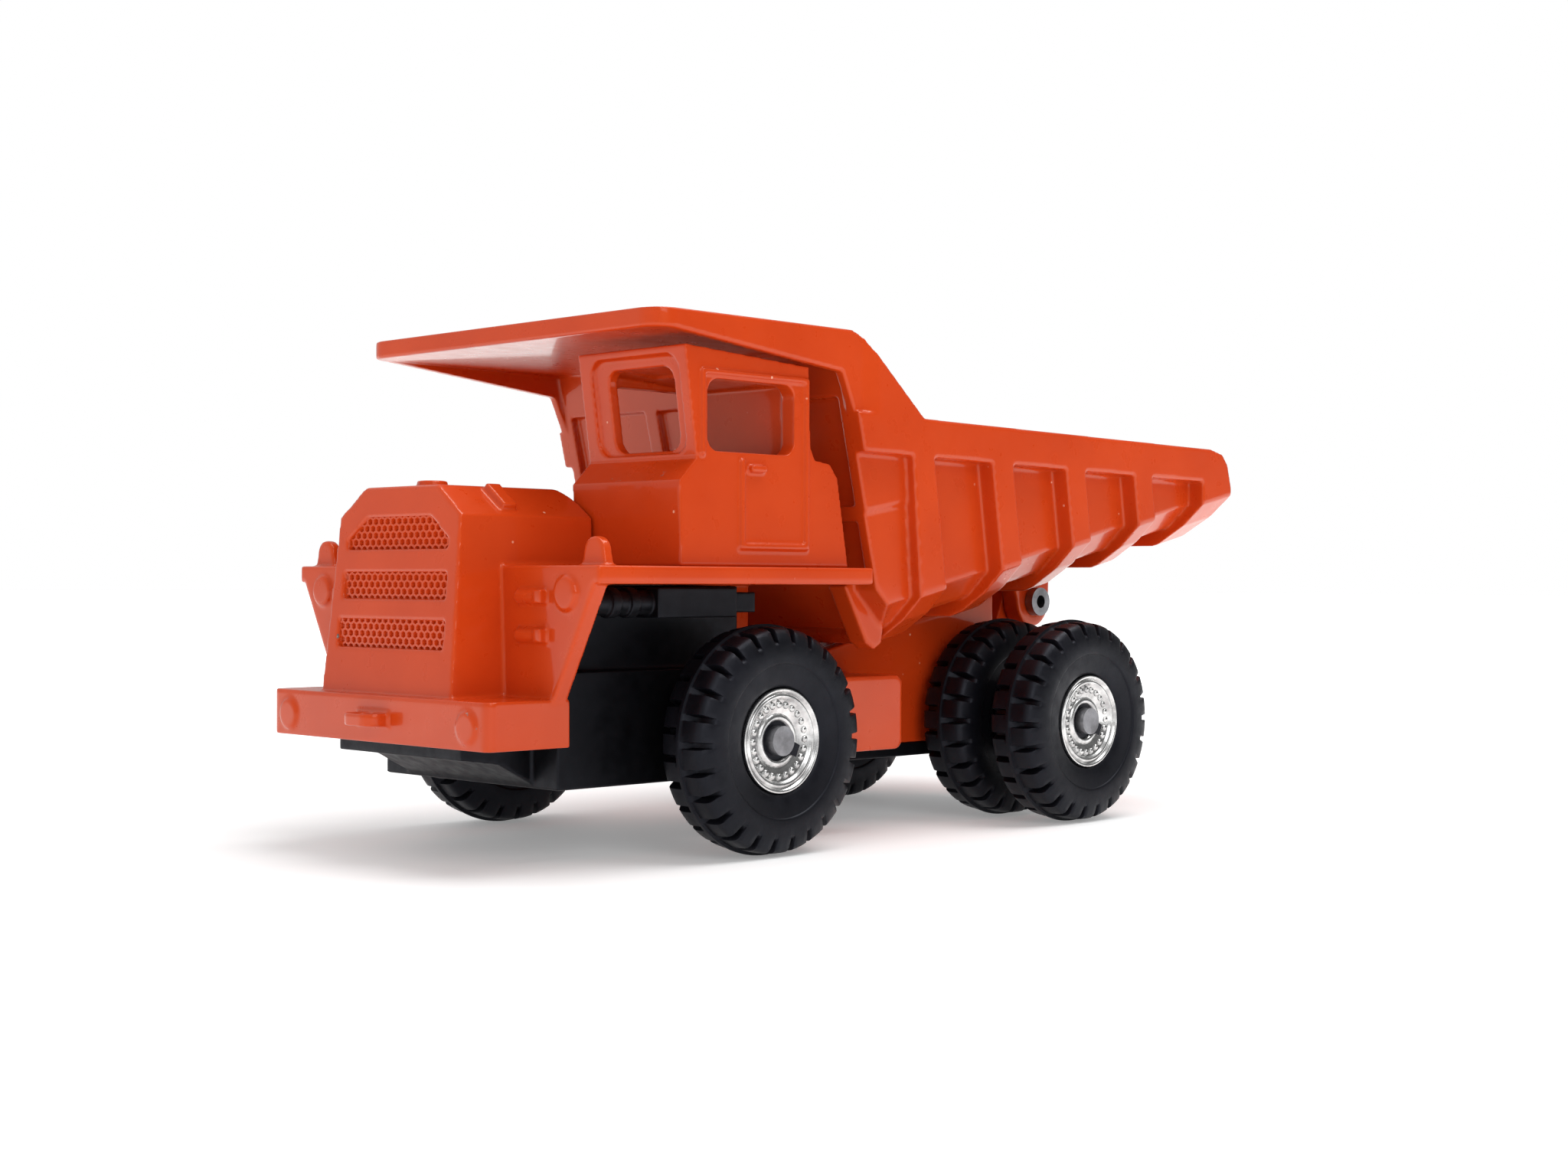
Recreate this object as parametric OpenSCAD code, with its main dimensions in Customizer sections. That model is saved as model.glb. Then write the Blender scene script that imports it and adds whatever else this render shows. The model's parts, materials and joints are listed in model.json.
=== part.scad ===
// Pocket-size die-cast off-highway dump truck.
// +X points to the front of the truck, +Y to its left side, +Z up. Z = 0 is the ground under the tyres.

/* [Wheels] */
// Radius of a tyre at the ridge along the middle of its tread
tyre_r = 7.35; // [7.2:0.05:7.45]
// Width of one tyre
tyre_w = 4.2; // [4:0.1:4.4]
// Radius of the plated hub insert
hub_r = 3.3; // [3:0.1:3.5]
// Tread blocks around each shoulder
tread_blocks = 26; // [20:1:30]
// Radius of the steel axles
axle_r = 0.95; // [0.85:0.05:1]
// Place of the front axle along the truck
front_axle_x = 14.55; // [14.3:0.05:14.8]
// Place of the rear axle along the truck
rear_axle_x = -15.25; // [-15.5:0.05:-15]
// Distance from the mid plane to the outer face of a front tyre
front_face_y = 15.6; // [15.5:0.1:16]
// Distance from the mid plane to the outer face of an outer rear tyre
rear_face_y = 17.2; // [17.1:0.1:17.5]
// Gap between the two tyres of a rear pair
dual_gap = 2.2; // [2:0.1:2.3]

/* [Dump bed] */
// Half width over the ribs
bed_half_w = 15.5; // [15.3:0.1:15.6]
// Rear end of the bed
tail_x = -35.65; // [-36:0.05:-35]
// Height of the side rim
rim_z = 28.2; // [28:0.1:28.4]
// Front edge of the canopy over the cab
canopy_x = 25; // [24:0.5:26]
// Top of the canopy
canopy_z = 33.8; // [33.6:0.1:34.2]
// Thickness of the canopy plate
canopy_t = 1.2; // [1:0.1:1.3]
// Distance between the side ribs
rib_pitch = 8.35; // [8.2:0.05:8.4]
// Width of a side rib
rib_w = 2.3; // [2:0.1:2.6]
// Depth of the panels between the ribs
panel_depth = 1.4; // [1:0.1:1.5]
// Thickness of the bed's cast wall
bed_wall = 1.1; // [0.9:0.1:1.3]
// Tipping hinge, along the truck
hinge_x = -22.7; // [-22.9:0.1:-22.4]
// Tipping hinge, above the ground
hinge_z = 15.9; // [15.8:0.1:16.1]

/* [Body] */
// Front face of the bumper
bumper_x = 34.6; // [34.5:0.1:34.8]
// Half width of the bumper
bumper_half_w = 11.45; // [11.2:0.05:11.6]
// Half width of the engine hood where it meets the bumper
hood_half_w = 6.9; // [6.7:0.1:7]
// Top of the hood
hood_z = 23.2; // [22.9:0.1:23.4]
// Top of the side decks
deck_z = 18.3; // [18.2:0.05:18.35]
// Half width over the side decks
deck_half_w = 15.7; // [15.5:0.1:15.8]
// Outer side of the cab
cab_y = 14.5; // [14.2:0.1:14.5]
// Cab side towards the hood
cab_in_y = 4.3; // [4:0.1:4.6]
// Wall thickness of the body castings
cast_wall = 1.2; // [1:0.1:1.3]

/* [Hidden] */
$fn = 48;

paint = [0.84, 0.25, 0.09];
plastic = [0.07, 0.07, 0.08];
steel = [0.55, 0.56, 0.58];
plated = [0.83, 0.84, 0.86];
run_gap = 0.05;        // radial clearance of a shaft that turns in a bore

// --- wheels ---
tread_r = tyre_r - 0.2;      // crown of the tread beside the ridge
shoulder_r = 6.1;            // edge between tread and sidewall
bead_r = 4.95;               // step where the sidewall turns in to the hub
hub_recess = 0.3;            // hub face behind the tyre's outer face
web_inset = 0.9;             // the tyre's inner web behind its two faces
groove_w = 0.55;
groove_depth = 0.9;

// --- bed: lines of the side view, as height over X ---
floor_slope = 0.2225;
function floor_z(x) = 13.1 - floor_slope * (x - 0.5);
corner_slope = 0.2165;
corner_z0 = 16.75;           // height of the side's lower corner at X = 0
front_lean = 0.235;          // the front wall leans forward as it rises
function front_x(z) = 7.8 - front_lean * (28.3 - z);
nose_z = 16.9;               // below this the front wall is cut back at 45 degrees
shoulder_x = 8.6;            // rear end of the canopy's top edge
rim_start_x = 1.3;           // where the rim levels out behind the canopy
rail_z = 25.8;               // lower edge of the plain rail under the rim, at X = 0
rail_slope = 0.014;
first_rib_x = 1.4;
rib_lean = 8.5;              // degrees
rib_ref_z = 26;              // height at which the rib pitch is measured
bed_end_w = 4;               // width of the frame round the tail
upper_panel_depth = 0.8;
lower_panel_depth = 0.95;
flange_inset = 0.35;         // canopy's side flange behind the sides of the bed
bed_in_y = bed_half_w - panel_depth - bed_wall;
pin_r = 0.85;
pin_head_r = 1.1;
pin_half = 6.45;
lug_r = 1.95;
bed_lug_y = [4.2, 5.7];
frame_lug_y = [2.5, 4.1];

// --- body ---
frame_half_w = 5.9;
frame_top_z = 12;
frame_front_x = 24;
frame_rear_x = -25;
base_z = 4.6;                // underside of the plastic base
base_t = 1;
bumper_z = [7.45, 10.35];
bumper_back_x = 28.5;
eye_reach = 1.5;             // how far the tow eye stands out of the bumper
eye_x = bumper_x + 0.75;
hood_rear_x = 22.7;
hood_bevel = [2.6, 1.85];    // width and height of the bevel along the hood's top edges
hood_taper = 0.5;            // the hood's half width is this much less under the bevel
grille_foot_x = bumper_x - 0.68;
grille_rake = 0.095;         // the grille leans back as it rises
function grille_x(z) = grille_foot_x - grille_rake * (z - bumper_z[1] + 0.5);
deck_t = 1.1;
deck_x = [6.6, 29.9];
fender_t = 1.1;
fender_foot_y = 11.3;        // outer end of the fender panel where it meets the bumper
arch_x = [12, 27.5];         // rear and front end of the black skirts in the wheel arches
skirt_y = [hood_half_w + 0.2, 9];
skirt_z = 11.8;              // ledge along the skirt
rivet_x = [20.5, -8];
rivet_sink = 0.5;            // depth of the pockets for the rivets' heads
tank_x = [-1.3, 6.9];
tank_y = 11.2;
tank_z = [5.8, 10.95];
cab_x = [7.6, 22.45];        // rear and front of the cab where it meets the deck
cowl_x = 22.6;               // foremost edge of the cab, level with its cowl
cab_roof_z = 31.8;

// Copies children to the left (as drawn) and the right side.
module both_sides() {
    children();
    mirror([0, 1, 0]) children();
}

// Extrudes an outline drawn in X and Z between two places across the truck.
module across(y0, y1) {
    translate([0, y1, 0]) rotate([90, 0, 0]) linear_extrude(y1 - y0) children();
}

// Extrudes an outline drawn in Y and Z between two places along the truck.
module along(x0, x1) {
    translate([x0, 0, 0]) rotate([90, 0, 90]) linear_extrude(x1 - x0) children();
}

module block(lo, hi) {
    translate(lo) cube([hi[0] - lo[0], hi[1] - lo[1], hi[2] - lo[2]]);
}

module linear_extrude_z(z0, z1) {
    translate([0, 0, z0]) linear_extrude(z1 - z0) children();
}

// A rod across the truck.
module rod(r, x, z, y0, y1) {
    translate([x, y1, z]) rotate([90, 0, 0]) cylinder(r = r, h = y1 - y0);
}

// Corner points of a rectangle with rounded corners.
function round_rect(x0, x1, z0, z1, r, n = 6) = [
    for (c = [[x1 - r, z1 - r, 0], [x0 + r, z1 - r, 90], [x0 + r, z0 + r, 180], [x1 - r, z0 + r, 270]])
        for (i = [0 : n]) [c[0] + r * cos(c[2] + 90 * i / n), c[1] + r * sin(c[2] + 90 * i / n)]
];

// Points round the front corner of an outline at (x, side * y), from left to right.
function round_corner(x, y, r, side, n = 6) = [
    for (i = [0 : n]) let (a = side > 0 ? 90 - 90 * i / n : -90 * i / n)
        [x - r + r * cos(a), side * (y - r) + r * sin(a)]
];

// --- dump bed ---

// Side outline of the tub, with its floor raised by d.
module tub_side(d) {
    nose = front_x(nose_z);
    drop = nose_z - floor_z(3) - d;
    polygon([
        [tail_x + 0.4, floor_z(tail_x) + d], [nose - drop, floor_z(nose - drop) + d], [nose, nose_z],
        [front_x(canopy_z - 0.2), canopy_z - 0.2], [shoulder_x, canopy_z - 0.2], [shoulder_x, canopy_z],
        [shoulder_x - 1, canopy_z - 0.15], [shoulder_x - 1.65, canopy_z - 0.5],
        [shoulder_x - 2.2, canopy_z - 1.05],
        [rim_start_x, rim_z + 0.2],
        [tail_x + 2.8, rim_z - 0.25], [tail_x + 1.2, rim_z - 0.6], [tail_x + 0.5, rim_z - 1.4],
        [tail_x, rim_z - 3.1], [tail_x, floor_z(tail_x) + 2.5]
    ]);
}

// Lower corner of the tub's section: distance in from the side, and fall below the corner.
corner_steps = [[0, 0], [1.9, 1.65], [4.3, 3.05], [6.2, 3.65], [9, 4]];

// Cross section of the tub, its sides moved in by d, laid along the rising floor.
module tub_section(d) {
    half = bed_half_w - d;
    translate([0, 0, corner_z0]) rotate([0, atan(corner_slope), 0]) along(-60, 60)
        polygon(concat(
            [[half, 40], [-half, 40]],
            [for (c = corner_steps) [c[0] - half, -c[1]]],
            [for (i = [len(corner_steps) - 1 : -1 : 0]) [half - corner_steps[i][0], -corner_steps[i][1]]]
        ));
}

// The tub with its sides moved in by d and its floor raised by lift.
module tub(d, lift) {
    intersection() {
        across(d - bed_half_w, bed_half_w - d) tub_side(lift);
        tub_section(d);
    }
}

// What stands proud of the side panels: ribs, rim rail, front section and tail frame.
module proud_zones() {
    for (i = [1 : 3]) translate([first_rib_x - i * rib_pitch, 0, rib_ref_z]) rotate([0, rib_lean, 0])
        cube([rib_w, 40, 60], center = true);
    across(-20, 20) polygon([
        [tail_x - 1, rail_z + rail_slope * (tail_x - 1)], [12, rail_z + rail_slope * 12], [12, 40],
        [tail_x - 1, 40]]);
    across(-20, 20) polygon([
        [0.3, 26], [-2.7, 6], [0.8, 6], [1.75, 17.2], [2.5, 26.1], [6.75, 26.4], [7.5, 28.5], [30, 28.5],
        [30, 40], [0.3, 40]]);
    block([tail_x - 1, -20, 0], [tail_x + bed_end_w, 20, 40]);
}

// Two shallow panels, one above the other, between the front wall and the first rib.
module side_panels() {
    intersection() {
        tub(upper_panel_depth, panel_depth);
        across(-20, 20) polygon([[1, 22.95], [9, 21.55], [9, 30], [1, 30]]);
    }
    intersection() {
        tub(lower_panel_depth, panel_depth);
        block([0.5, -20, 0], [12, 20, 24]);
    }
}

// Sunken panels across the front wall.
module front_panels() {
    for (y = [-9.6, 0, 9.6]) for (z = [[22.4, 29.5], [17.4, 21.4]]) across(y - 4.1, y + 4.1) polygon([
        [front_x(z[1]) - 0.5, z[1]], [front_x(z[0]) - 0.5, z[0]], [front_x(z[0]) + 2, z[0]],
        [front_x(z[1]) + 2, z[1]]]);
}

// Ribs down the cut-back foot of the front wall.
module nose_ribs() {
    both_sides() across(11, 12.6)
        polygon([[2, 16], [2.4, 13.2], [3.1, 12.8], [4, 13.3], [6.1, 17.1], [4.4, 17.8]]);
}

module canopy() {
    linear_extrude_z(canopy_z - canopy_t, canopy_z)
        polygon(concat(
            [[8, flange_inset - bed_half_w], [8, bed_half_w - flange_inset]],
            round_corner(canopy_x, bed_half_w - flange_inset, 1.6, 1),
            round_corner(canopy_x, bed_half_w - flange_inset, 1.6, -1)
        ));
    flange_z = canopy_z - canopy_t;
    both_sides() across(bed_half_w - 1.1, bed_half_w) polygon([
        [canopy_x - 1.4, flange_z], [canopy_x - 1.4, canopy_z], [shoulder_x, canopy_z],
        [shoulder_x - 1, canopy_z - 0.15], [shoulder_x - 1.65, canopy_z - 0.5],
        [shoulder_x - 2.2, canopy_z - 1.05],
        [rim_start_x, rim_z + 0.2], [front_x(28.3), 28.3], [front_x(28.3) + 1.2, 31]
    ]);
}

// Sets the canopy's flange back from the side, with a slanting step between them.
module flange_step() {
    both_sides() linear_extrude_z(28.5, 40) polygon([
        [5.9, bed_half_w + 0.01], [7.2, bed_half_w - flange_inset], [40, bed_half_w - flange_inset],
        [40, bed_half_w + 2], [5.9, bed_half_w + 2]]);
}

module hopper() {
    d = panel_depth + bed_wall;
    in_nose = front_x(nose_z) - 1.7;
    in_drop = 2;
    intersection() {
        across(-bed_in_y, bed_in_y) polygon([
            [-60, floor_z(-60) + d], [in_nose - in_drop, floor_z(in_nose - in_drop) + d],
            [in_nose, nose_z + 0.8], [front_x(50) - 1.7, 50], [-60, 50]]);
        tub_section(d);
    }
}

module bed_lugs() {
    both_sides() across(bed_lug_y[0], bed_lug_y[1]) polygon([
        [hinge_x - lug_r, hinge_z], [hinge_x + lug_r, hinge_z], [hinge_x + 3.4, 20.2], [hinge_x - 2.2, 20.6]]);
    both_sides() rod(lug_r, hinge_x, hinge_z, bed_lug_y[0], bed_lug_y[1]);
}

module dump_bed() {
    color(paint) difference() {
        union() {
            tub(panel_depth, panel_depth);
            side_panels();
            intersection() {
                tub(0, 0);
                proud_zones();
            }
            nose_ribs();
            canopy();
            bed_lugs();
        }
        flange_step();
        hopper();
        front_panels();
        rod(pin_r + run_gap, hinge_x, hinge_z, -8, 8);
    }
}

// --- body casting ---

module bumper() {
    rear = bumper_back_x;
    difference() {
        union() {
            linear_extrude_z(bumper_z[0], bumper_z[1])
                polygon(round_rect(rear + 1, bumper_x, -bumper_half_w, bumper_half_w, 0.6));
            block([rear, -bumper_half_w, bumper_z[0]], [rear + 3, bumper_half_w, bumper_z[1]]);
            tow_eye();
        }
        block([rear - 1, 1 - bumper_half_w, 0], [bumper_x - 1.4, bumper_half_w - 1, bumper_z[1] - 1]);
        translate([eye_x, 0, 8]) cylinder(r = 0.5, h = 2);
    }
    both_sides() translate([bumper_x - 0.1, 9.45, 8.8]) rotate([0, 90, 0]) cylinder(r = 0.92, h = 0.3);
}

// A flat ring with round corners.
module tow_eye() {
    linear_extrude_z(8.5, 9.3) polygon(round_rect(bumper_x - 1, bumper_x + eye_reach, -1.6, 1.6, 0.95));
}

module hood_outline(d) {
    low = hood_half_w - d;
    high = low - hood_taper;
    top = hood_z - d;
    polygon([
        [-low, 5], [low, 5], [low, bumper_z[1]], [high, top - hood_bevel[1]], [high - hood_bevel[0], top],
        [hood_bevel[0] - high, top], [-high, top - hood_bevel[1]], [-low, bumper_z[1]]
    ]);
}

// Cuts the hood's ends: raked grille in front, rounded at the back.
module hood_side(d) {
    foot_z = bumper_z[1] - 0.5;
    rear = hood_rear_x + d;
    r = 1.4;
    polygon(concat(
        [[rear, foot_z], [grille_foot_x - d, foot_z], [grille_x(24.3) - d, 24.3]],
        [for (a = [90 : 15 : 180]) [rear + r + r * cos(a), hood_z + 0.1 - d - r + r * sin(a)]]
    ));
}

module hood_solid(d) {
    intersection() {
        along(0, 60) hood_outline(d);
        across(-20, 20) hood_side(d);
    }
}

// Three sunken vents in the grille, the upper one with cut corners.
module grille_vents() {
    depth = 0.5;
    for (row = [[13.2, 14.95, 5.6], [16.25, 17.9, 5.45]]) translate([grille_x(row[0]) - depth, 0, 0])
        block([0, -row[2], row[0]], [3, row[2], row[1]]);
    translate([grille_x(19.3) - depth, 0, 0]) along(0, 3)
        polygon([[-5.3, 19.3], [5.3, 19.3], [5.3, 19.9], [3.3, 21.3], [-3.3, 21.3], [-5.3, 19.9]]);
}

module hood() {
    difference() {
        union() {
            hood_solid(0);
            translate([30.3, 0, hood_z - 0.1]) cylinder(r = 0.95, h = 0.5);
            translate([29, 4.9, 22.25]) rotate([-36, 0, 0]) translate([-0.65, -1.15, -0.4]) cube([1.1, 2.3, 1]);
        }
        hood_solid(cast_wall);
        block([24.8, 1.2 - hood_half_w, 0], [31.5, hood_half_w - 1.2, 12]);
        block([0, cab_in_y - 0.03, deck_z], [cowl_x + 0.03, cab_y, 30]);
        grille_vents();
    }
}

// Fender panel with its slanting outer edge, round lamp, two step bars and mirror ear.
module fender() {
    face_x = deck_x[1];
    along(face_x - fender_t, face_x) polygon([
        [hood_half_w - 0.8, bumper_z[1] - 0.5], [fender_foot_y, bumper_z[1] - 0.5],
        [deck_half_w - 0.45, 17.2], [deck_half_w - 0.2, deck_z], [hood_half_w - 0.8, deck_z]]);
    translate([face_x - 0.1, 12.8, 16.65]) rotate([0, 90, 0]) cylinder(r = 1, h = 0.4);
    for (z = [14.15, 16.45]) {
        rod(0.45, face_x + 0.05, z, 8.3, 10.9);
        block([face_x - 0.1, 10.3, z - 0.4], [face_x + 0.6, 11, z + 0.4]);
    }
    along(28.3, 29) union() {
        translate([14.1, 19.1]) circle(r = 0.92);
        polygon([[12.9, deck_z - 0.3], [15.3, deck_z - 0.3], [15.02, 19.1], [13.18, 19.1]]);
    }
}

module decks() {
    both_sides() block([deck_x[0], hood_half_w - 1, deck_z - deck_t], [deck_x[1], deck_half_w, deck_z]);
    block([deck_x[0], -hood_half_w, deck_z - deck_t], [hood_rear_x + 1, hood_half_w, deck_z]);
}

// Box frame under the decks and the bed, open below.
module frame() {
    difference() {
        union() {
            block([frame_rear_x, -frame_half_w, base_z + base_t], [frame_front_x, frame_half_w, frame_top_z]);
            both_sides() block([8.5, 2.9, frame_top_z - 1], [frame_front_x, frame_half_w, deck_z - deck_t]);
        }
        block([frame_rear_x + 1.2, 1.2 - frame_half_w, 0],
            [frame_front_x - 1, frame_half_w - 1.2, frame_top_z - 1.2]);
    }
    both_sides() {
        across(frame_half_w - 1.2, frame_half_w) polygon([
            [3, frame_top_z - 1], [3, floor_z(3) - 0.45], [-17.5, floor_z(-17.5) - 0.45],
            [-17.5, frame_top_z - 1]]);
        across(frame_lug_y[0], frame_lug_y[1]) polygon([
            [hinge_x - lug_r, hinge_z], [hinge_x + lug_r, hinge_z], [hinge_x + 4, frame_top_z - 0.5],
            [frame_rear_x, frame_top_z - 0.5], [frame_rear_x, frame_top_z]]);
        rod(lug_r, hinge_x, hinge_z, frame_lug_y[0], frame_lug_y[1]);
    }
}

module tanks() {
    both_sides() across(frame_half_w - 0.5, tank_y)
        polygon(round_rect(tank_x[0], tank_x[1], tank_z[0], tank_z[1], 0.7));
}

module rivet_post(x) {
    translate([x, 0, base_z + base_t]) difference() {
        cylinder(r = 1.8, h = frame_top_z - base_z - base_t - 0.5);
        translate([0, 0, -1]) cylinder(r = 0.8, h = 5);
    }
}

module body_casting() {
    color(paint) difference() {
        union() {
            bumper();
            hood();
            both_sides() fender();
            decks();
            frame();
            tanks();
            rivet_post(rivet_x[0]);
            rivet_post(rivet_x[1]);
        }
        for (x = [front_axle_x, rear_axle_x]) rod(axle_r + run_gap, x, tyre_r, -12, 12);
        rod(pin_r, hinge_x, hinge_z, -8, 8);
    }
}

// --- cab ---

module cab_side(d) {
    polygon([
        [cab_x[0] + d, deck_z - 1], [cab_x[1] - d, deck_z - 1], [cowl_x - d, 23.5], [21.2 - d, 24.9 - d],
        [22.2 - d, cab_roof_z - d], [11.5 + d, cab_roof_z - 0.65 - d], [11.3 + d, 26 - d], [10.9 + d, 25.2 - d],
        [9.5 + d, 25 - d], [8.8 + d, 24.1 - d]
    ]);
}

module cab_windows() {
    along(18, 26) polygon(round_rect(6.7, 12.8, 25.45, 30.6, 0.9));
    across(cab_in_y - 1, cab_y + 1) polygon(round_rect(12.8, 20.3, 25.4, 29.85, 0.9));
}

// Shallow frame sunk into the front face round the windscreen.
module windscreen_recess() {
    depth = 0.3;
    intersection() {
        along(18, 26) polygon(round_rect(5.4, 13.65, 25.2, 31.3, 1.1));
        across(0, 20) polygon([[21.2 - depth, 24.9], [22.2 - depth, cab_roof_z], [30, cab_roof_z], [30, 24.9]]);
    }
}

// Raised door outline, handle and rain strip on the outer side.
module cab_trim() {
    t = 0.2;
    across(cab_y - 0.1, cab_y + t) difference() {
        polygon([[11.6, 19.4], [17.6, 19.4], [17.6, 25.1], [20.9, 25.1], [20.9, 30.4], [11.6, 30.4]]);
        polygon([[11.95, 19.75], [17.25, 19.75], [17.25, 25], [20.6, 25], [20.6, 30.1], [11.95, 30.1]]);
    }
    across(cab_y - 0.1, cab_y + 0.4) polygon(round_rect(15.5, 16.9, 24.2, 24.65, 0.2));
}

module cab_shell() {
    color(paint) difference() {
        union() {
            intersection() {
                across(cab_in_y, cab_y) cab_side(0);
                block([0, 0, deck_z], [40, 40, 40]);
            }
            cab_trim();
        }
        across(cab_in_y + cast_wall, cab_y - cast_wall) cab_side(cast_wall);
        windscreen_recess();
        cab_windows();
    }
}

// --- plastic base and its fittings ---

module base_plate() {
    axle_clear = axle_r + 0.3;
    color(plastic) difference() {
        union() {
            block([frame_rear_x, -frame_half_w, base_z], [frame_front_x, frame_half_w, base_z + base_t]);
            block([arch_x[0], -skirt_y[1], base_z], [arch_x[1], skirt_y[1], base_z + base_t]);
            both_sides() block([arch_x[0], skirt_y[0], base_z], [arch_x[1], skirt_y[1], skirt_z]);
            both_sides()
                block([arch_x[0], skirt_y[0], base_z], [arch_x[1], skirt_y[1] - 0.6, deck_z - deck_t - 0.1]);
            block([frame_front_x + 0.2, -skirt_y[1], base_z], [arch_x[1], skirt_y[1], 9]);
            across(-6.5, 6.5) polygon([[27, base_z], [27, 9.2], [32.8, 9.2], [32.8, 6.6], [30, 6.2]]);
        }
        for (x = [front_axle_x, rear_axle_x]) rod(axle_clear, x, tyre_r, -12, 12);
        for (x = rivet_x) translate([x, 0, 0]) {
            cylinder(r = 0.8, h = 8);
            cylinder(r = 1.4, h = base_z + rivet_sink);
        }
    }
}

module exhaust_muffler() {
    z = 16.05;
    color(plastic) {
        block([15.2, 9.6, z - 0.95], [21.9, 11.8, z + 0.95]);
        block([13.2, 10, z - 0.65], [15.3, 11.4, z + 0.65]);
        translate([21.8, 10.7, z]) rotate([0, 90, 0]) cylinder(r = 0.75, h = 5.4);
        for (x = [23.1, 24.6]) translate([x, 10.7, z]) rotate([0, 90, 0]) cylinder(r = 0.95, h = 0.7);
        block([17, 8.4, z - 0.5], [20, 9.7, z + 0.5]);
    }
}

module base_rivet(x) {
    color(steel) translate([x, 0, 0]) {
        translate([0, 0, base_z + rivet_sink - 0.4]) cylinder(r = 1.3, h = 0.4);
        translate([0, 0, base_z + rivet_sink - 0.1]) cylinder(r = 0.8, h = 3.6);
    }
}
module base_rivet_front() { base_rivet(rivet_x[0]); }
module base_rivet_rear() { base_rivet(rivet_x[1]); }

module hinge_pin() {
    color(steel) difference() {
        union() {
            rod(pin_r, hinge_x, hinge_z, -pin_half, pin_half);
            both_sides() rod(pin_head_r, hinge_x, hinge_z, bed_lug_y[1] + run_gap, pin_half);
        }
        rod(0.5, hinge_x, hinge_z, -8, 8);
    }
}

// --- wheel sets ---

// Half-width outline of a tyre: radius against distance from its outer face.
module tyre_outline() {
    w = tyre_w;
    polygon([
        [axle_r, web_inset], [hub_r, web_inset], [hub_r, hub_recess], [bead_r - 0.4, 0.05], [bead_r, 0.15],
        [shoulder_r - 0.3, 0], [shoulder_r + 0.1, 0.1], [tread_r, 0.6], [tread_r, w / 2 - 0.15],
        [tyre_r, w / 2 - 0.1], [tyre_r, w / 2 + 0.1], [tread_r, w / 2 + 0.15], [tread_r, w - 0.6],
        [shoulder_r + 0.1, w - 0.1],
        [shoulder_r - 0.3, w], [hub_r, w - 0.3], [hub_r - 0.4, w - web_inset], [axle_r, w - web_inset]
    ]);
}

// A tyre with its outer face at Y = 0, reaching in towards -Y.
module tyre() {
    step = 360 / tread_blocks;
    color(plastic) difference() {
        rotate([90, 0, 0]) rotate_extrude() tyre_outline();
        for (i = [0 : tread_blocks - 1]) rotate([0, i * step, 0]) {
            translate([-groove_w / 2, 0.1 - tyre_w / 2, tread_r - groove_depth]) cube([groove_w, 3, 3]);
            rotate([0, step / 2, 0])
                translate([-groove_w / 2, -3.1 - tyre_w / 2, tread_r - groove_depth]) cube([groove_w, 3, 3]);
        }
    }
}

// Plated insert: rim, dished face, ring of wheel nuts and a raised collar round the axle end.
module hub() {
    nuts = 24;
    color(plated) rotate([90, 0, 0]) difference() {
        union() {
            rotate_extrude() polygon([
                [axle_r, web_inset], [hub_r, web_inset], [hub_r, hub_recess], [hub_r - 0.2, 0.15],
                [hub_r - 0.5, 0.4], [1.85, 0.45], [1.6, 0.75], [axle_r, 0.75]
            ]);
            for (i = [0 : nuts - 1]) rotate([0, 0, i * 360 / nuts]) translate([2.25, 0, 0.32])
                cylinder(r = 0.14, h = 0.3, $fn = 12);
        }
    }
}

module axle(x, face_y) {
    color(steel) rod(axle_r, x, tyre_r, -face_y + 0.2, face_y - 0.2);
}

// Puts a piece drawn for the left side on an axle; side is 1 for left, -1 for right.
module on_axle(x, face_y, side) {
    mirror([0, side < 0 ? 1 : 0, 0]) translate([x, face_y, tyre_r]) children();
}

inner_face_y = rear_face_y - tyre_w - dual_gap;

module rear_spacer(side) {
    length = dual_gap + 2 * web_inset;
    face_y = rear_face_y - tyre_w + web_inset;
    color(plastic) on_axle(rear_axle_x, face_y, side) rotate([90, 0, 0]) difference() {
        cylinder(r = 2.6, h = length);
        translate([0, 0, -1]) cylinder(r = axle_r, h = length + 2);
    }
}

module front_axle() { axle(front_axle_x, front_face_y); }
module rear_axle() { axle(rear_axle_x, rear_face_y); }
module front_tyre_left() { on_axle(front_axle_x, front_face_y, 1) tyre(); }
module front_tyre_right() { on_axle(front_axle_x, front_face_y, -1) tyre(); }
module front_hub_left() { on_axle(front_axle_x, front_face_y, 1) hub(); }
module front_hub_right() { on_axle(front_axle_x, front_face_y, -1) hub(); }
module rear_tyre_outer_left() { on_axle(rear_axle_x, rear_face_y, 1) tyre(); }
module rear_tyre_inner_left() { on_axle(rear_axle_x, inner_face_y, 1) tyre(); }
module rear_tyre_outer_right() { on_axle(rear_axle_x, rear_face_y, -1) tyre(); }
module rear_tyre_inner_right() { on_axle(rear_axle_x, inner_face_y, -1) tyre(); }
module rear_hub_left() { on_axle(rear_axle_x, rear_face_y, 1) hub(); }
module rear_hub_right() { on_axle(rear_axle_x, rear_face_y, -1) hub(); }
module rear_spacer_left() { rear_spacer(1); }
module rear_spacer_right() { rear_spacer(-1); }

body_casting();
cab_shell();
base_plate();
exhaust_muffler();
base_rivet_front();
base_rivet_rear();
hinge_pin();
dump_bed();
front_axle();
front_tyre_left();
front_tyre_right();
front_hub_left();
front_hub_right();
rear_axle();
rear_tyre_outer_left();
rear_tyre_inner_left();
rear_tyre_outer_right();
rear_tyre_inner_right();
rear_hub_left();
rear_hub_right();
rear_spacer_left();
rear_spacer_right();
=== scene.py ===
"""A pocket-size die-cast dump truck: looks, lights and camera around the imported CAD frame."""

import json
import math

import bpy
from mathutils import Matrix, Vector


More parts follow.
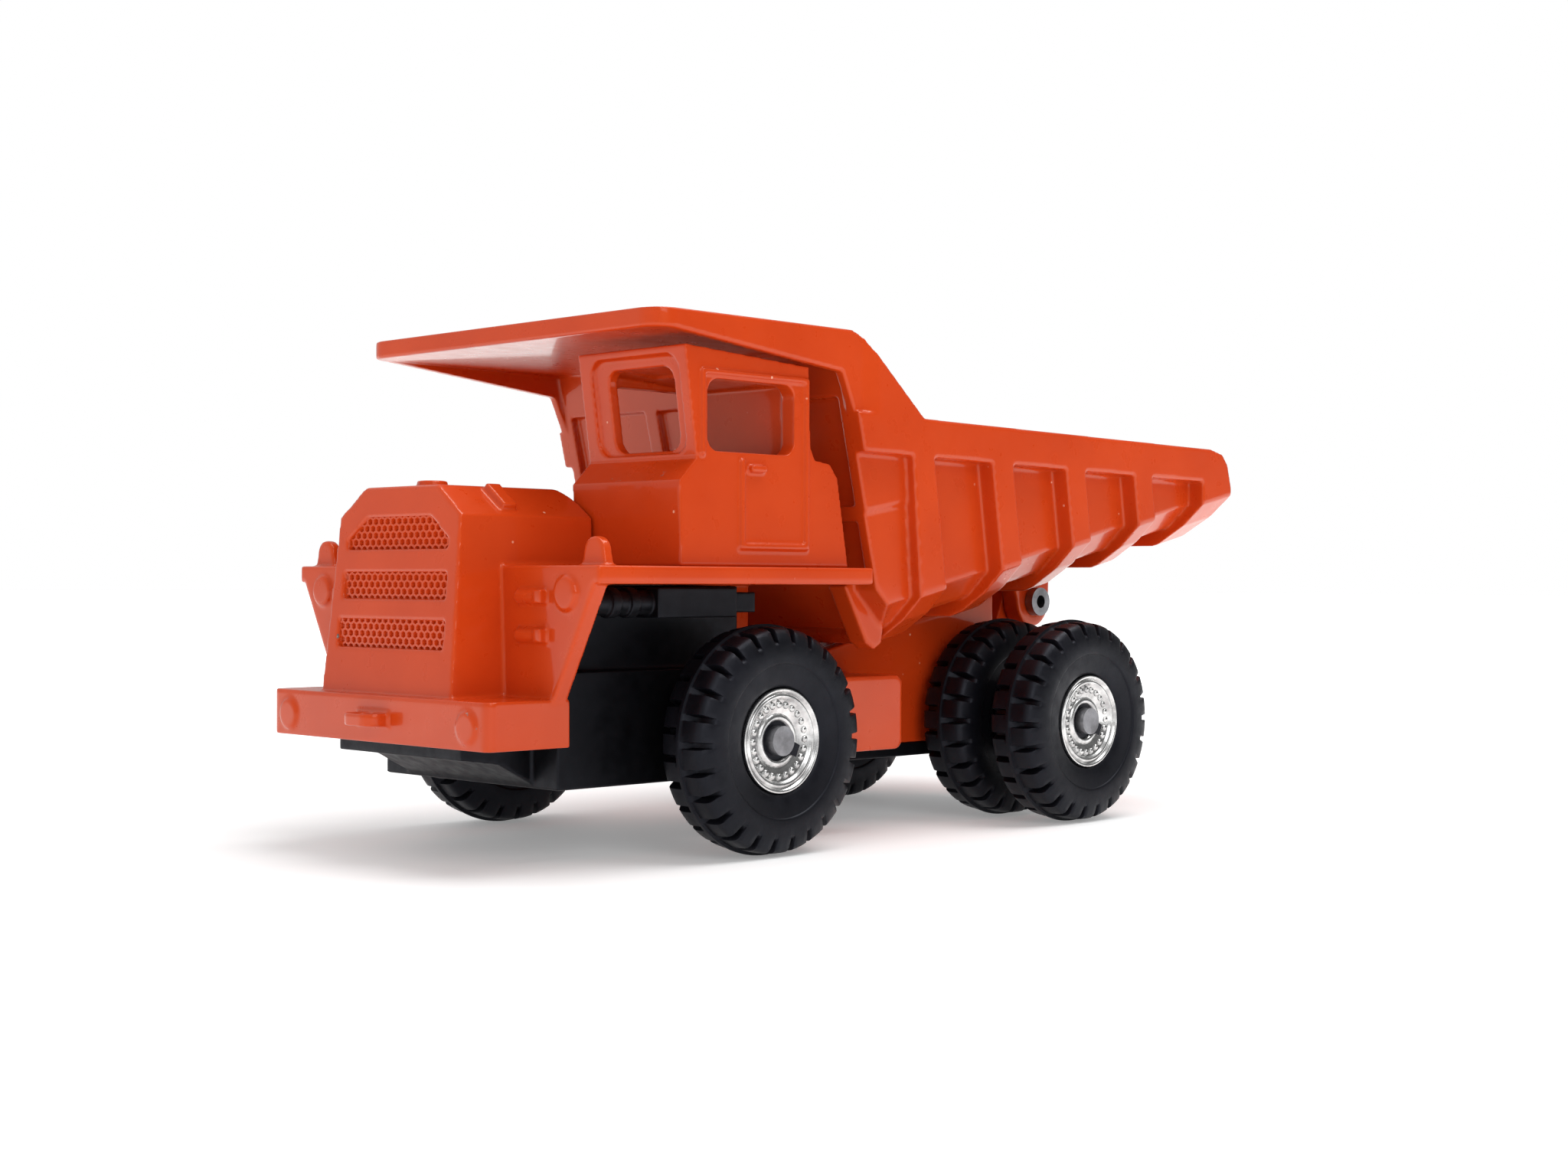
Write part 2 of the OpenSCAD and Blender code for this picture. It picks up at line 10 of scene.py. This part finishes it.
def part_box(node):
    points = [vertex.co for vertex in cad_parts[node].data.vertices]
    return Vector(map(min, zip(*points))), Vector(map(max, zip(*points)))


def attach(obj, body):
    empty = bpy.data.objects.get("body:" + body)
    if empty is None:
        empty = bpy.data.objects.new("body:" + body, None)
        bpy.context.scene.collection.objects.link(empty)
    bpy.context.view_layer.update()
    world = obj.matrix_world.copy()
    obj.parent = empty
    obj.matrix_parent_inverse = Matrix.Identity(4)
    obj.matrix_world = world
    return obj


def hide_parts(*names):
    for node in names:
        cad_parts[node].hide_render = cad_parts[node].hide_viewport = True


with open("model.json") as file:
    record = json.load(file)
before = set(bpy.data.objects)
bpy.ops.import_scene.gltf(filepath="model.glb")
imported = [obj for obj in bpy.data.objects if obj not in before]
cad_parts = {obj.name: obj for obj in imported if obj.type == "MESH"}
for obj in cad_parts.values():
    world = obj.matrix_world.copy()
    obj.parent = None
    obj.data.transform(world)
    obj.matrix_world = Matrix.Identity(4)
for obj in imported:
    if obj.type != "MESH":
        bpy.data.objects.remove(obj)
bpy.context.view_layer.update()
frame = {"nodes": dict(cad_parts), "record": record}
record = frame["record"]

MM = 0.001
TAU = 2 * math.pi
# Where each joint's axis runs, in millimetres.
JOINT = {j["name"]: Vector(j["pos_m"]) / MM for j in record["behaviour"]["joints"]}


# --- making pieces; all shapes are drawn in millimetres ---

def add_piece(name, mesh, body, material, replaces=()):
    """Links a mesh as a piece that rides on a CAD body."""
    mesh.transform(Matrix.Scale(MM, 4))
    piece = bpy.data.objects.new(name, mesh)
    bpy.context.scene.collection.objects.link(piece)
    mesh.materials.clear()
    mesh.materials.append(material)
    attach(piece, body)
    if replaces:
        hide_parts(*replaces)
    return piece


def mesh_from(name, points, faces, smooth_angle):
    """A smooth-shaded mesh whose edges stay sharp where they bend by more than the angle."""
    mesh = bpy.data.meshes.new(name)
    mesh.from_pydata([tuple(p) for p in points], [], faces)
    mesh.validate()
    mesh.shade_smooth()
    mesh.set_sharp_from_angle(angle=math.radians(smooth_angle))
    return mesh


def applied(mesh, modifiers):
    """The mesh after a list of (type, settings) modifiers."""
    holder = bpy.data.objects.new("holder", mesh)
    bpy.context.scene.collection.objects.link(holder)
    for kind, settings in modifiers:
        modifier = holder.modifiers.new(kind.lower(), kind)
        for key, value in settings.items():
            setattr(modifier, key, value)
    graph = bpy.context.evaluated_depsgraph_get()
    made = bpy.data.meshes.new_from_object(holder.evaluated_get(graph))
    bpy.data.objects.remove(holder)
    return made


def wound(face, outward):
    """The face as it is, or turned over."""
    return face if outward else face[::-1]


# --- materials ---

def new_material(name):
    material = bpy.data.materials.new(name)
    material.use_nodes = True
    tree = material.node_tree
    shader = tree.nodes["Principled BSDF"]
    return material, tree, shader


def put(tree, socket, value):
    """Links an output to the socket, or sets the socket to a plain value."""
    if isinstance(value, bpy.types.NodeSocket):
        tree.links.new(value, socket)
    elif socket.type == "RGBA" and len(value) == 3:
        socket.default_value = (*value, 1.0)
    else:
        socket.default_value = value


def finish(tree, shader, inputs):
    for key, value in inputs.items():
        put(tree, shader.inputs[key], value)


def node(tree, kind, inputs=None, **settings):
    made = tree.nodes.new(kind)
    for key, value in settings.items():
        setattr(made, key, value)
    for key, value in (inputs or {}).items():
        put(tree, made.inputs[key], value)
    return made


def object_place(tree):
    return node(tree, "ShaderNodeTexCoord").outputs["Object"]


def noise(tree, scale, detail=3.0, roughness=0.5):
    """Noise with its scale in features per millimetre, so that it is the same size on every piece."""
    return node(tree, "ShaderNodeTexNoise", {
        "Vector": object_place(tree), "Scale": scale / MM, "Detail": detail, "Roughness": roughness}).outputs["Fac"]


def ramp(tree, value, start, end, low=0.0, high=1.0):
    """Low up to the start value, high from the end value on, and straight in between."""
    return node(tree, "ShaderNodeMapRange", {
        "Value": value, "From Min": start, "From Max": end, "To Min": low, "To Max": high}).outputs["Result"]


def mix(tree, factor, a, b):
    """Colour a where the factor is 0, and b where it is 1."""
    mixed = node(tree, "ShaderNodeMix", {"Factor": factor}, data_type="RGBA")
    put(tree, mixed.inputs[6], a)
    put(tree, mixed.inputs[7], b)
    return mixed.outputs[2]


def times(tree, a, b):
    return node(tree, "ShaderNodeMath", {0: a, 1: b}, operation="MULTIPLY").outputs[0]


def bump(tree, height, strength, distance):
    """A normal from a height; the distance is in millimetres."""
    return node(tree, "ShaderNodeBump", {
        "Height": height, "Strength": strength, "Distance": distance * MM}).outputs["Normal"]


def paint_material():
    """Glossy orange-red enamel, faintly mottled, with pale specks of dust and chips on the sharpest edges."""
    material, tree, shader = new_material("orange_enamel")
    mottle = ramp(tree, noise(tree, 0.12), 0.35, 0.65)
    enamel = mix(tree, mottle, (0.54, 0.044, 0.005), (0.60, 0.054, 0.007))
    edge = node(tree, "ShaderNodeNewGeometry").outputs["Pointiness"]
    sharp = ramp(tree, edge, 0.565, 0.60)
    patches = ramp(tree, noise(tree, 0.45, 6.0, 0.7), 0.62, 0.66)
    bare = mix(tree, ramp(tree, noise(tree, 4), 0.4, 0.6), (0.10, 0.09, 0.09), (0.30, 0.28, 0.27))
    worn = mix(tree, times(tree, sharp, patches), enamel, bare)
    speck = node(tree, "ShaderNodeTexVoronoi", {
        "Vector": object_place(tree), "Scale": 0.55 / MM}).outputs["Distance"]
    dust = times(tree, ramp(tree, speck, 0.06, 0.035), ramp(tree, noise(tree, 0.3), 0.50, 0.56))
    finish(tree, shader, {
        "Base Color": mix(tree, dust, worn, (0.80, 0.40, 0.28)),
        "Roughness": ramp(tree, noise(tree, 0.8, 5), 0.3, 0.7, 0.26, 0.36),
        "Specular IOR Level": 0.3,
        "Specular Tint": (1.0, 0.55, 0.25),
        "Coat Weight": 0.4,
        "Coat Roughness": 0.06,
        "Coat Tint": (1.0, 0.97, 0.90),
        "Normal": bump(tree, noise(tree, 0.5, 2), 0.18, 0.06)})
    return material


def plastic_material(name, dark, light, rough, grain):
    """Moulded black plastic: slightly lighter patches, uneven sheen and a fine grain."""
    material, tree, shader = new_material(name)
    tone = ramp(tree, noise(tree, 0.35, 6, 0.6), 0.35, 0.75)
    finish(tree, shader, {
        "Base Color": mix(tree, tone, dark, light),
        "Roughness": ramp(tree, noise(tree, 1.2, 5), 0.3, 0.7, rough - 0.08, rough + 0.08),
        "Specular IOR Level": 0.24,
        "Specular Tint": (0.80, 0.84, 1.0),
        "Normal": bump(tree, noise(tree, grain, 6, 0.65), 0.4, 0.03)})
    return material


def metal_material(name, dark, light, rough, dents):
    """Bare or plated metal: cloudy patches, rougher where they are dark, and small dents."""
    material, tree, shader = new_material(name)
    cloud = ramp(tree, noise(tree, 0.9, 5, 0.6), 0.35, 0.65)
    finish(tree, shader, {
        "Base Color": mix(tree, cloud, dark, light),
        "Metallic": 1.0,
        "Roughness": ramp(tree, cloud, 0, 1, rough + 0.12, rough),
        "Normal": bump(tree, noise(tree, dents, 3), 0.16, 0.05)})
    return material


PAINT = paint_material()
TYRE = plastic_material("tyre_black", (0.0022, 0.0022, 0.0034), (0.0055, 0.0055, 0.0080), 0.44, 3.0)
BLACK = plastic_material("base_black", (0.0015, 0.0015, 0.002), (0.004, 0.004, 0.005), 0.42, 2.0)
PLATED = metal_material("plated_silver", (0.42, 0.42, 0.42), (0.84, 0.84, 0.83), 0.17, 1.2)
STEEL = metal_material("dull_steel", (0.20, 0.20, 0.21), (0.34, 0.34, 0.36), 0.34, 3.0)


# --- castings and mouldings with soft edges, made from the CAD nodes' own shapes ---

# CAD node, piece, material, slot, body, voxel size and rounds of smoothing.
CASTINGS = [
    ("body_casting", "body_casting_painted", PAINT, "orange_paint", "chassis", 0.11, 6),
    ("cab_shell", "cab_shell_painted", PAINT, "orange_paint", "chassis", 0.09, 6),
    ("dump_bed", "dump_bed_painted", PAINT, "orange_paint", "bed", 0.11, 8),
    ("base_plate", "base_plate_moulded", BLACK, "black_plastic", "chassis", 0.12, 3),
    ("exhaust_muffler", "exhaust_muffler_moulded", BLACK, "black_plastic", "chassis", 0.07, 4),
]


def castings():
    for node_name, name, material, slot, body, voxel, rounds in CASTINGS:
        mesh = frame["nodes"][node_name].data.copy()
        mesh.transform(Matrix.Scale(1 / MM, 4))
        mesh = applied(mesh, [
            ("REMESH", {"mode": "VOXEL", "voxel_size": voxel, "adaptivity": 0.0}),
            ("SMOOTH", {"factor": 0.5, "iterations": rounds}),
        ])
        mesh.shade_smooth()
        add_piece(name, mesh, body, material, [node_name])


def plain_nodes():
    """CAD nodes whose shape is right keep it and get their material."""
    finishes = {"base_rivet_front": STEEL, "base_rivet_rear": STEEL, "hinge_pin": STEEL,
                "rear_spacer_left": BLACK, "rear_spacer_right": BLACK,
                "front_axle": STEEL, "rear_axle": STEEL}
    for name, material in finishes.items():
        mesh = frame["nodes"][name].data
        mesh.materials.clear()
        mesh.materials.append(material)


# --- grille ---

# Lowest and highest Z of the three vents.
VENTS = [(13.2, 14.95), (16.25, 17.9), (19.3, 21.3)]
VENT_HALF_W = 5.7
# The grille's front face: X at its foot, the foot's Z, and how far it leans back for each millimetre up.
GRILLE_FOOT_X = 33.92
GRILLE_FOOT_Z = 9.85
GRILLE_RAKE = 0.095
# The perforated sheet lies this far behind the face at each vent's lower edge.
SHEET_DEPTH = 0.27
HOLE_PITCH = 0.63
ROW_PITCH = 0.43
# Rings of one six-sided cell: depth behind the sheet, and share of the cell's size.
CELL_RINGS = ((0.0, 1.0), (0.0, 0.74), (0.2, 0.5))


def grille_mesh():
    """Perforated sheets at the bottom of the vents: rows of six-sided holes, every other row shifted."""
    points, faces = [], []
    for low, high in VENTS:
        sheet_x = GRILLE_FOOT_X - GRILLE_RAKE * (low - GRILLE_FOOT_Z) - SHEET_DEPTH
        rows = math.ceil((high - low) / ROW_PITCH) + 1
        columns = math.ceil(VENT_HALF_W / HOLE_PITCH)
        for row in range(rows):
            for column in range(-columns, columns + 1):
                y = (column + row % 2 / 2) * HOLE_PITCH
                z = low + row * ROW_PITCH
                if abs(y) > VENT_HALF_W:
                    continue
                start = len(points)
                for depth, share in CELL_RINGS:
                    for corner in range(6):
                        turn = TAU * corner / 6
                        points.append((sheet_x - depth,
                                       y + share * HOLE_PITCH / math.sqrt(3) * math.sin(turn),
                                       z + share * ROW_PITCH / 1.5 * math.cos(turn)))
                for ring in (0, 6):
                    for corner in range(6):
                        here, there = start + ring + corner, start + ring + (corner + 1) % 6
                        faces.append((here, there, there + 6, here + 6))
                faces.append(tuple(range(start + 12, start + 18)))
    add_piece("grille_mesh", mesh_from("grille_mesh", points, faces, 25), "chassis", PAINT)


# --- wheels; outlines are (radius, depth), and depth 0 is the wheel's outer face ---

def wheel_place(node_name, body):
    """The side a wheel's CAD node is on (1 left, -1 right), the centre of its outer face, and its width."""
    low, high = (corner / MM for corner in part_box(node_name))
    side = 1 if low.y > 0 else -1
    axle = JOINT["front_axle_spin" if body == "front_wheels" else "rear_axle_spin"]
    centre = Vector((axle.x, high.y if side > 0 else low.y, axle.z))
    return side, centre, high.y - low.y


def turned(columns, centre, side, closed):
    """Points and faces between outlines, one for each angle about the axle."""
    points, faces = [], []
    rows = len(columns[0][1])
    for turn, outline in columns:
        for radius, depth in outline:
            points.append((centre.x + radius * math.sin(turn), centre.y - side * depth,
                           centre.z + radius * math.cos(turn)))
    for i in range(len(columns)):
        here, there = i * rows, (i + 1) % len(columns) * rows
        for k in range(rows if closed else rows - 1):
            after = (k + 1) % rows
            faces.append(wound((here + k, there + k, there + after, here + after), side > 0))
    return points, faces


# The plated insert from the axle outwards: a low collar, the dish, and two rings at the rim.
HUB = [(0.95, 0.84), (1.22, 0.80), (1.30, 0.58), (1.42, 0.53), (1.62, 0.56), (1.72, 0.68), (1.86, 0.66),
       (2.05, 0.52), (2.5, 0.48), (2.62, 0.42), (2.70, 0.28), (2.82, 0.23), (2.94, 0.26), (3.0, 0.36),
       (3.06, 0.34), (3.12, 0.2), (3.22, 0.15), (3.3, 0.18), (3.33, 0.3), (3.33, 0.85)]
HUB_STEPS = 96
NUTS = 24
NUT_CIRCLE = 2.28
NUT_DEPTH = 0.52
NUT_SIDES = 10
# Rings of one nut: radius and height above its foot; then the height of its tip.
NUT_RINGS = ((0.24, 0.0), (0.22, 0.1), (0.13, 0.17))
NUT_TIP = 0.19
# The key in the collar's slot: its direction in degrees from straight up, its rings as (depth, growth), and its
# corners as (reach, half width).
NOTCH_TURN = -115
NOTCH_RINGS = ((0.75, 0.0), (0.40, 0.0), (0.36, -0.05))
NOTCH_CORNERS = ((1.0, -0.36), (1.0, 0.36), (1.78, 0.36), (1.78, -0.36))


def hub(node_name, body):
    side, centre, _ = wheel_place(node_name, body)
    points, faces = turned([(TAU * i / HUB_STEPS, HUB) for i in range(HUB_STEPS)], centre, side, closed=False)
    last = len(NUT_RINGS) - 1
    for nut in range(NUTS):
        turn = TAU * nut / NUTS
        middle = centre + Vector((NUT_CIRCLE * math.sin(turn), -side * NUT_DEPTH, NUT_CIRCLE * math.cos(turn)))
        start = len(points)
        for radius, rise in NUT_RINGS:
            for corner in range(NUT_SIDES):
                angle = TAU * corner / NUT_SIDES
                points.append(middle + Vector((radius * math.sin(angle), side * rise, radius * math.cos(angle))))
        tip = len(points)
        points.append(middle + Vector((0, side * NUT_TIP, 0)))
        for ring in range(len(NUT_RINGS)):
            for corner in range(NUT_SIDES):
                here = start + ring * NUT_SIDES + corner
                there = start + ring * NUT_SIDES + (corner + 1) % NUT_SIDES
                top = (there + NUT_SIDES, here + NUT_SIDES) if ring < last else (tip,)
                faces.append(wound((here, there, *top), side > 0))
    name = node_name + "_plated"
    add_piece(name, mesh_from(name, points, faces, 50), body, PLATED, [node_name])
    notch(node_name + "_notch", centre, side, body)


def notch(name, centre, side, body):
    """A dark key that fills the slot in the collar beside the axle's end."""
    points, faces = [], []
    turn = math.radians(NOTCH_TURN)
    out = Vector((math.sin(turn), 0, math.cos(turn)))
    along = Vector((out.z, 0, -out.x))
    far_reach = NOTCH_CORNERS[-1][0]
    for depth, grow in NOTCH_RINGS:
        for reach, half in NOTCH_CORNERS:
            edge = half + math.copysign(grow, half)
            far = reach + (grow if reach == far_reach else 0.0)
            points.append(centre + out * far + along * edge - Vector((0, side * depth, 0)))
    for ring in (0, 4):
        for corner in range(4):
            here, there = ring + corner, ring + (corner + 1) % 4
            faces.append(wound((here, there, there + 4, here + 4), side < 0))
    faces.append(wound((8, 9, 10, 11), side < 0))
    add_piece(name, mesh_from(name, points, faces, 35), body, TYRE)


TREAD_BLOCKS = 26
# Half of the tyre, from the bore over the outer face to the ridge in the middle of the tread.
# The tread's outline is BLOCK along a block and GROOVE along a groove.
SIDEWALL = [(0.9, 0.9), (3.34, 0.9), (3.36, 0.6), (3.44, 0.46), (3.62, 0.36), (4.0, 0.26), (4.6, 0.14),
            (4.86, 0.11), (4.92, 0.03), (5.02, 0.0), (5.5, 0.0), (5.95, 0.03)]
BLOCK = [(6.15, 0.07), (6.35, 0.12), (6.75, 0.27), (6.98, 0.42), (7.1, 0.62), (7.15, 0.9), (7.16, 1.3),
         (7.16, 1.6), (7.16, 1.78), (7.16, 1.86), (7.18, 1.93), (7.34, 1.98), (7.35, 2.1)]
GROOVE = [(6.12, 0.09), (6.2, 0.18), (6.28, 0.34), (6.33, 0.5), (6.38, 0.7), (6.42, 0.95), (6.47, 1.25),
          (6.6, 1.5), (6.9, 1.7), (7.1, 1.84), (7.18, 1.93), (7.34, 1.98), (7.35, 2.1)]
# Places within one tread pitch where the outline is drawn, and how far each one is down in the groove.
WALL = [(0.355, 0.0), (0.372, 0.12), (0.39, 0.9), (0.41, 1.0)]


def groove_share(place):
    """How deep in the groove a place in the pitch (0 to 1) lies; the groove is centred on 0.5."""
    near = place if place <= 0.5 else 1 - place
    if near <= WALL[0][0]:
        return 0.0
    for (a, low), (b, high) in zip(WALL, WALL[1:]):
        if near <= b:
            return low + (high - low) * (near - a) / (b - a)
    return 1.0


def half_outline(place):
    share = groove_share(place % 1)
    return SIDEWALL + [(b[0] + (g[0] - b[0]) * share, b[1] + (g[1] - b[1]) * share) for b, g in zip(BLOCK, GROOVE)]


def tread_places():
    """Where outlines are needed: at the grooves' walls on the outer half and, half a pitch on, on the inner half."""
    places = {0.0, 0.5}
    for at, _ in WALL:
        for shift in (0.0, 0.5):
            places |= {round((at + shift) % 1, 4), round((1 - at + shift) % 1, 4)}
    return sorted(places)


def tyre(node_name, body):
    """A tyre with cut tread blocks, those of its two halves half a pitch apart."""
    side, centre, width = wheel_place(node_name, body)
    columns = []
    for block in range(TREAD_BLOCKS):
        for place in tread_places():
            inner = [(radius, width - depth) for radius, depth in reversed(half_outline(place + 0.5)[:-1])]
            columns.append((TAU * (block + place) / TREAD_BLOCKS, half_outline(place) + inner))
    points, faces = turned(columns, centre, side, closed=True)
    name = node_name + "_tread"
    add_piece(name, mesh_from(name, points, faces, 40), body, TYRE, [node_name])


def wheels():
    for body, group in record["behaviour"]["bodies"].items():
        for name in group:
            if "tyre" in name:
                tyre(name, body)
            if "hub" in name:
                hub(name, body)


# --- floor, light and camera, in metres ---

FLOOR_HALF = 3.0
# The floor's glow is painted light: weak under the truck and growing out to where it meets the white backdrop.
GLOW_NEAR, GLOW_FAR = 0.035, 0.16
GLOW_LOW, GLOW_HIGH = 0.24, 0.75

# Direction of the room's bright side, and the room's strength on its dark and bright sides.
BRIGHT_SIDE = (0.6, -0.6, 0.5)
ROOM_DARK, ROOM_BRIGHT = 0.15, 0.66
TRUCK_MIDDLE = (0, 0, 0.015)

LENS_MM = 48.8
SENSOR_MM = 36
SHIFT_X, SHIFT_Y = -0.0325, 0.0119
EYE = (0.10879, 0.11025, 0.01736)
LOOK = (-0.7215, -0.6924, -0.0115)
ROLL_DEG = 0.22


def floor():
    mesh = bpy.data.meshes.new("floor")
    corners = [(-1, -1), (1, -1), (1, 1), (-1, 1)]
    mesh.from_pydata([(x * FLOOR_HALF, y * FLOOR_HALF, 0) for x, y in corners], [], [(0, 1, 2, 3)])
    piece = bpy.data.objects.new("floor", mesh)
    bpy.context.scene.collection.objects.link(piece)
    material, tree, shader = new_material("white_floor")
    grain = ramp(tree, noise(tree, 0.02, 4), 0.4, 0.6)
    away = node(tree, "ShaderNodeVectorMath", {0: object_place(tree)}, operation="LENGTH").outputs["Value"]
    finish(tree, shader, {
        "Base Color": mix(tree, grain, (0.84, 0.84, 0.84), (0.87, 0.87, 0.87)),
        "Roughness": 0.6,
        # Painted light: the floor glows, weakly under the truck and more strongly further out.
        "Emission Color": (1, 1, 1),
        "Emission Strength": ramp(tree, away, GLOW_NEAR, GLOW_FAR, GLOW_LOW, GLOW_HIGH)})
    mesh.materials.append(material)


def soft_light(name, place, size, power):
    """A square lamp that faces the truck."""
    light = bpy.data.lights.new(name, "AREA")
    light.shape = "SQUARE"
    light.size = size
    light.energy = power
    lamp = bpy.data.objects.new(name, light)
    lamp.location = place
    lamp.rotation_mode = "QUATERNION"
    lamp.rotation_quaternion = (Vector(place) - Vector(TRUCK_MIDDLE)).to_track_quat("Z", "Y")
    bpy.context.scene.collection.objects.link(lamp)


def studio():
    """A white backdrop; the room is bright in front and above, and darker behind the truck's left side."""
    world = bpy.data.worlds.new("white_room")
    world.use_nodes = True
    tree = world.node_tree
    towards = node(tree, "ShaderNodeVectorMath", {
        0: node(tree, "ShaderNodeTexCoord").outputs["Generated"], 1: BRIGHT_SIDE}, operation="DOT_PRODUCT")
    room = ramp(tree, towards.outputs["Value"], -0.6, 0.6, ROOM_DARK, ROOM_BRIGHT)
    seen = node(tree, "ShaderNodeLightPath").outputs["Is Camera Ray"]
    strength = node(tree, "ShaderNodeMix", {"Factor": seen, 2: room, 3: 1.0}, data_type="FLOAT").outputs[0]
    finish(tree, tree.nodes["Background"], {"Color": (1, 1, 1), "Strength": strength})
    bpy.context.scene.world = world
    bpy.context.scene.view_settings.view_transform = "Standard"
    soft_light("overhead", (-0.10, 0.08, 0.40), 0.30, 1.45)
    soft_light("left", (0.16, 0.38, 0.20), 0.22, 0.42)


def camera():
    data = bpy.data.cameras.new("camera")
    data.lens = LENS_MM
    data.sensor_width = SENSOR_MM
    data.shift_x = SHIFT_X
    data.shift_y = SHIFT_Y
    data.clip_start = 0.005
    data.clip_end = 20
    eye = bpy.data.objects.new("camera", data)
    eye.location = EYE
    eye.rotation_mode = "QUATERNION"
    roll = Matrix.Rotation(math.radians(ROLL_DEG), 3, "Z").to_quaternion()
    eye.rotation_quaternion = Vector(LOOK).to_track_quat("-Z", "Y") @ roll
    bpy.context.scene.collection.objects.link(eye)
    bpy.context.scene.camera = eye


castings()
grille_mesh()
plain_nodes()
wheels()
floor()
studio()
camera()
